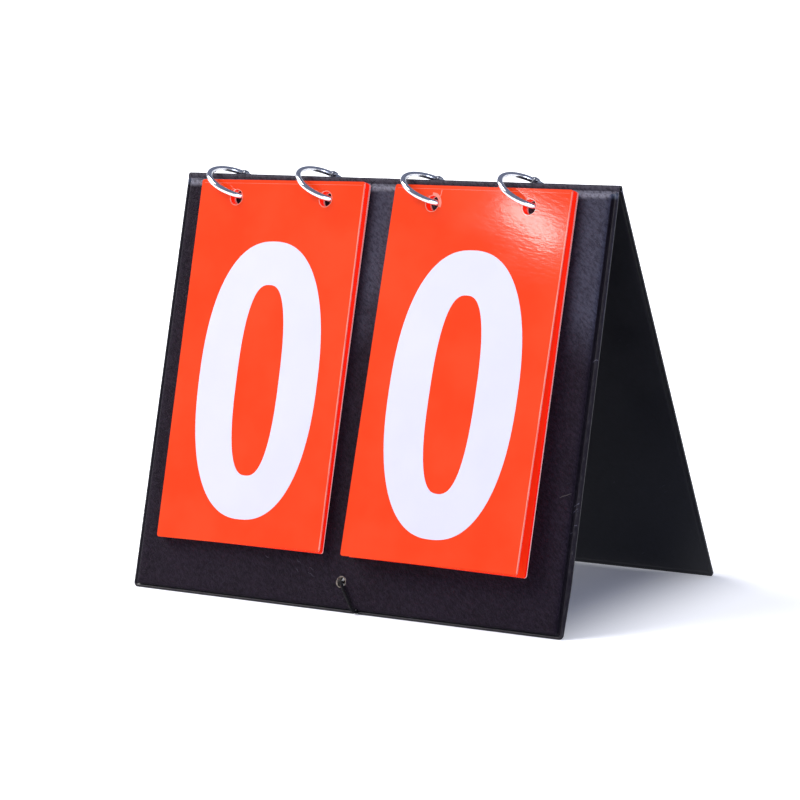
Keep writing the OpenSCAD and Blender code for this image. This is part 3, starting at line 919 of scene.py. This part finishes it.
def superellipse(width, height, power, count=120):
    t = 2 * math.pi * np.arange(count) / count
    c, s = np.cos(t), np.sin(t)
    return np.column_stack([
        width / 2 * np.sign(c) * np.abs(c) ** (2 / power),
        height / 2 * np.sign(s) * np.abs(s) ** (2 / power),
    ])


def zeroMesh():
    w, h, film = numeral["width"], numeral["height"], numeral["film"]
    innerW, innerH = w - 2 * numeral["sideStroke"], h - 2 * numeral["topStroke"]
    outer = superellipse(w, h, numeral["squareness"])
    inner = superellipse(innerW, innerH, numeral["innerSquareness"])
    verts = [
        (x, y, z) for a, b in zip(outer, inner) for (x, y), z in ((b, film), (a, film), (a, 0), (b, 0))
    ]
    return np.array(verts), ringFaces(len(outer), 4, True)


def textMesh(text):
    # the hidden cards' numerals, from the built-in face, drawn to the zero's width and height
    curve = bpy.data.curves.new("numeralText", "FONT")
    curve.body = text
    curve.offset = 0.02
    curve.extrude = 0.5
    curve.resolution_u = 6
    holder = bpy.data.objects.new("numeralText", curve)
    bpy.context.scene.collection.objects.link(holder)
    bpy.context.view_layer.update()
    mesh = bpy.data.meshes.new_from_object(holder.evaluated_get(bpy.context.evaluated_depsgraph_get()))
    co = np.array([tuple(v.co) for v in mesh.vertices])
    faces = [tuple(p.vertices) for p in mesh.polygons]
    bpy.data.objects.remove(holder)
    bpy.data.curves.remove(curve)
    low, high = co.min(0), co.max(0)
    share = numeral["oneShare"] if text == "1" else 1.0
    size = np.array([numeral["width"] * share, numeral["height"], numeral["film"]])
    return (co - (low + high) / 2) / (high - low) * size + np.array([0, 0, numeral["film"] / 2]), faces


def makeNumerals():
    for side in ("left", "right"):
        for k in range(10):
            verts, faces = zeroMesh() if k == 0 else textMesh(str(k))
            axes, top = cardFrame(f"{side}_card_{k}")
            centre = (0, -numeral["below"] - numeral["height"] / 2, numeral["clear"])
            placed = top + (verts + centre) @ axes * mm
            ink = makeMesh(f"{side}_numeral_{k}", placed, faces, inkWhite, 30.0)
            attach(ink, f"{side}_front_card" if k == 0 else "front_board")


makeNumerals()
print("numerals printed")


# Marks of making and use, each a thin raised strip: the card's cut and pressed edges and torn holes, the
# punched cord hole's fibres, and scuffs and a crease in the vinyl. Sizes are in mm
marks = {
    "lift": 0.03,
    "trimIn": 1.6,  # from a card's top edge to the line that its die has pressed
    "trimWidth": 0.1,
    "cutWidth": 0.62,  # the white of the core along the edge where the die has cut through the print
    "cutIn": 0.08,
    "cutEnds": 0.9,
    "spread": 1.3,  # a mark's greatest width, as a share of its usual one
    "cardWidth": 95.0,
    "cardHeight": 167.0,
    "holeRadius": 3.5,
    "holeX": 26.0,
    "holeDrop": 8.2,
    "rimOut": 0.16,
    "tornOut": 0.9,
    "tear": [(3.4, 2.4), (4.1, 4.2), (4.3, 6.2)],  # from the torn hole's centre
    "fibreOut": 0.12,
    "fibreWidths": (0.15, 0.9),
    "scuffWidth": 0.34,
    "scuffWaver": 0.12,
    "scuffs": [
        ((-43.3, -171.3), (-40.8, -172.2)), ((-25.3, -171.5), (-22.4, -172.9)),
        ((-25.2, -175.1), (-23.3, -176.7)), ((-17.4, -174.0), (-15.0, -175.2)),
        ((-17.7, -176.4), (-14.0, -178.2)),
    ],
    "crease": ((111.2, -132.4), (116.6, -130.3)),
}


def strip(name, line, widths, out, material, closed=False):
    # a flat strip along a line, both in metres, lying on a surface that faces out
    line = np.asarray(line, float)
    side = np.cross(out, headings(line, closed))
    side *= (np.asarray(widths) * mm / 2 / np.linalg.norm(side, axis=1))[:, None]
    lift = np.asarray(out) * marks["lift"] * mm
    rings = np.stack([line - side, line + side, line + side + lift, line - side + lift], axis=1)
    return makeMesh(name, rings.reshape(-1, 3), ringFaces(len(line), 4, closed), material, 30.0)


def circleLine(cx, cy, radius, start=0.0, end=360.0, count=36):
    turn = np.radians(np.linspace(start, end, count, endpoint=end - start < 360))
    return np.column_stack([cx + radius * np.cos(turn), cy + radius * np.sin(turn)])


def unevenWidths(count, low, high, seed):
    share = np.array([0.5 + 0.9 * noise.noise(Vector((0.31 * i, seed, 0.5))) for i in range(count)])
    return low + (high - low) * share.clip(0, 1)


def makeCardMarks():
    half, drop, hole, cut = marks["cardWidth"] / 2, marks["holeDrop"], marks["holeRadius"], marks["cutWidth"]
    for seed, side in enumerate(("left", "right")):
        axes, top = cardFrame(side + "_card_0")
        down = np.linspace(-marks["cutEnds"], marks["cutEnds"] - marks["cardHeight"], 60)
        over = np.linspace(marks["trimIn"] - half, half - marks["trimIn"], 40)
        cutLine = np.column_stack([np.full(60, half - cut / 2 - marks["cutIn"]), down])
        trimLine = np.column_stack([over, np.full(40, -marks["trimIn"])])
        lines = {  # each with its usual width, and its least width as a share of that
            "cut_side": (cutLine, cut / marks["spread"], 0.6),
            "trim_top": (trimLine, marks["trimWidth"], 0.8),
        }
        for k, x in enumerate((-marks["holeX"], marks["holeX"])):
            lines[f"hole_rim_{k + 1}"] = (circleLine(x, -drop, hole + marks["rimOut"]), 0.3, 1.0)
        if side == "right":
            x = -marks["holeX"]
            lines["torn_hole"] = (circleLine(x, -drop, hole + marks["tornOut"], -20, 95, 14), 1.0, 1.0)
            lines["torn_spike"] = (np.array([(x + a, b - drop) for a, b in marks["tear"]]), 0.5, 0.6)
        for label, (flat, width, least) in lines.items():
            line = top + flat @ axes[:2] * mm
            widths = unevenWidths(len(line), width * least, width * marks["spread"], seed + len(label))
            mark = strip(f"{side}_{label}", line, widths, axes[2], bruisedPvc, label.startswith("hole"))
            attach(mark, side + "_front_card")


def makeBoardMarks():
    radius = cordHole["diameter"] / 2 + marks["fibreOut"]
    rim = circleLine(cordHole["x"], cordHole["rise"] - board["height"], radius, count=40)
    lines = [("punched_fibres", rim, unevenWidths(40, *marks["fibreWidths"], 4.0), pulpBoard)]
    taper = np.sin(np.linspace(0.35, 2.8, 9))
    for k, (first, last) in enumerate(marks["scuffs"] + [marks["crease"]]):
        line = np.linspace(first, last, 9) + marks["scuffWaver"] * np.sin(np.arange(9) * 1.3 + k)[:, None]
        material = foldedVinyl if k == len(marks["scuffs"]) else scuffedVinyl
        lines.append((f"vinyl_mark_{k + 1}", line, marks["scuffWidth"] * taper, material))
    for name, flat, widths, material in lines:
        height = coverTop(flat[:, 0], flat[:, 1], cover["seeds"]["cover"])
        line = onFront(np.column_stack([flat, height]))
        mark = strip(name, line, widths, outward, material, name == "punched_fibres")
        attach(mark, "front_board")


makeCardMarks()
makeBoardMarks()
print("marks made")


def finishNodes():
    looks = [(f"_card_{k}", cardPvc if k == 0 else innerPvc if k < 7 else rearPvc) for k in range(10)]
    looks += [("_frame", nickel), ("_gate", nickel), ("_pin", pinSteel), ("_core", pulpBoard)]
    for name, node in nodes.items():
        material = next((m for part, m in looks if part in name), None)
        if material:
            node.data.materials.clear()
            node.data.materials.append(material)
            node.data.shade_smooth()
            node.data.set_sharp_from_angle(angle=math.radians(35))


finishNodes()
print("frame pieces finished")


# Pale floor that curves up into a backdrop, and soft studio light, in metres
studio = {
    "floorReach": 6.0,
    "sweepRadius": 1.3,
    "floorColour": "#F1F1F5",
    "shadeGlow": 0.01,  # the glow lifts the floor to white for the camera, but hardly in the object's shadow
    "nearGlow": 0.7,
    "farGlow": 1.0,
    "shadeX": {1: 0.080, 2: 0.160},  # from the middle of the tent, where the shadow begins and has ended
    "shadeY": {1: 0.053, 2: 0.075},
    "fade": {1: 0.3, 2: 1.0},
    "sheen": {"place": (-0.487, -0.660, 0.586), "size": (0.046, 0.015), "power": 0.038, "colour": "#FFFFFF",
              "aim": (0.081, 0.050, 0.170), "along": (0.0575, -0.025, -0.0287)},
    "key": {"place": (-1.50, -0.50, 1.65), "size": (1.6, 1.6), "power": 71.0, "colour": "#FFFDFA",
            "aim": (0.0, 0.03, 0.08), "along": (0.0, 1.0, 0.0)},
    "fill": {"place": (1.25, -0.55, 0.45), "size": (0.5, 0.5), "power": 5.5, "colour": "#D6E0FF",
             "aim": (0.05, 0.05, 0.08), "along": (0.0, 1.0, 0.0)},
    "worldColour": "#CFDAFF",
    "worldLight": 0.3,
}


def floorMaterial():
    material, add, place = newMaterial("paperSweep")
    rays = add("LightPath")
    seen = rays["Is Camera Ray"]
    for kind in ("Is Glossy Ray", "Is Transmission Ray"):
        seen = add("Math", {"operation": "MAXIMUM", 0: seen, 1: rays[kind]})[0]
    away = add("VectorMath", {"operation": "LENGTH", 0: place})["Value"]
    offset = add("VectorMath", {"operation": "SUBTRACT", 0: place, 1: (0.0, midY * mm, 0.0)})[0]
    offset = add("VectorMath", {"operation": "ABSOLUTE", 0: offset})[0]
    sides = add("SeparateXYZ", {0: offset})
    outX = add("MapRange", {**studio["shadeX"], 0: sides[0]})[0]
    outY = add("MapRange", {**studio["shadeY"], 0: sides[1]})[0]
    outside = add("Math", {"operation": "MAXIMUM", 0: outX, 1: outY})[0]
    levels = {3: studio["nearGlow"], 4: studio["farGlow"]}
    lifted = add("MapRange", {**studio["fade"], **levels, 0: away})[0]
    glow = add("Math", {**multiplyAdd, 0: outside, 1: lifted, 2: studio["shadeGlow"]})[0]
    strength = add("Math", {0: seen, 1: glow})[0]
    shine = add("Emission", {"Color": (1, 1, 1, 1), "Strength": strength})[0]
    paper = add("BsdfPrincipled", {
        "Base Color": studio["floorColour"], "Roughness": 0.9, "Specular IOR Level": 0.0,
    })[0]
    add("OutputMaterial", {"Surface": add("AddShader", {0: paper, 1: shine})[0]})
    return material


def makeFloor():
    # a flat disc with a rim that curves up, turned about the middle
    reach, bend = studio["floorReach"], studio["sweepRadius"]
    profile = [(0.02, 0.0), (0.5, 0.0), (reach, 0.0)]
    for a in np.radians(np.arange(10, 91, 10)):
        profile.append((reach + bend * math.sin(a), bend * (1 - math.cos(a))))
    turns = 64
    angles = 2 * math.pi * np.arange(turns) / turns
    verts = [(r * math.cos(t), r * math.sin(t), z) for r, z in profile for t in angles]
    faces = [range(turns), *ringFaces(len(profile), turns, capped=False)]
    makeMesh("floor", verts, faces, floorMaterial())


def makeLamp(name, look):
    lamp = bpy.data.objects.new(name, bpy.data.lights.new(name, "AREA"))
    lamp.data.shape = "RECTANGLE"
    lamp.data.size, lamp.data.size_y = look["size"]
    lamp.data.energy = look["power"]
    lamp.data.color = linearColour(look["colour"])[:3]
    back = (Vector(look["place"]) - Vector(look["aim"])).normalized()
    rise = back.cross(Vector(look["along"])).normalized()
    standAt(lamp, look["place"], rise.cross(back), rise, back)


def makeWorld():
    world = bpy.data.worlds.new("studioWorld")
    world.use_nodes = True
    tree = world.node_tree
    tree.nodes.clear()
    light = {"Color": studio["worldColour"], "Strength": studio["worldLight"]}
    addNode(tree, "OutputWorld", {"Surface": addNode(tree, "Background", light)[0]})
    bpy.context.scene.world = world


makeFloor()
for lampName in ("sheen", "key", "fill"):
    makeLamp(lampName + "Lamp", studio[lampName])
makeWorld()
bpy.context.scene.view_settings.view_transform = "Standard"
print("studio lit")
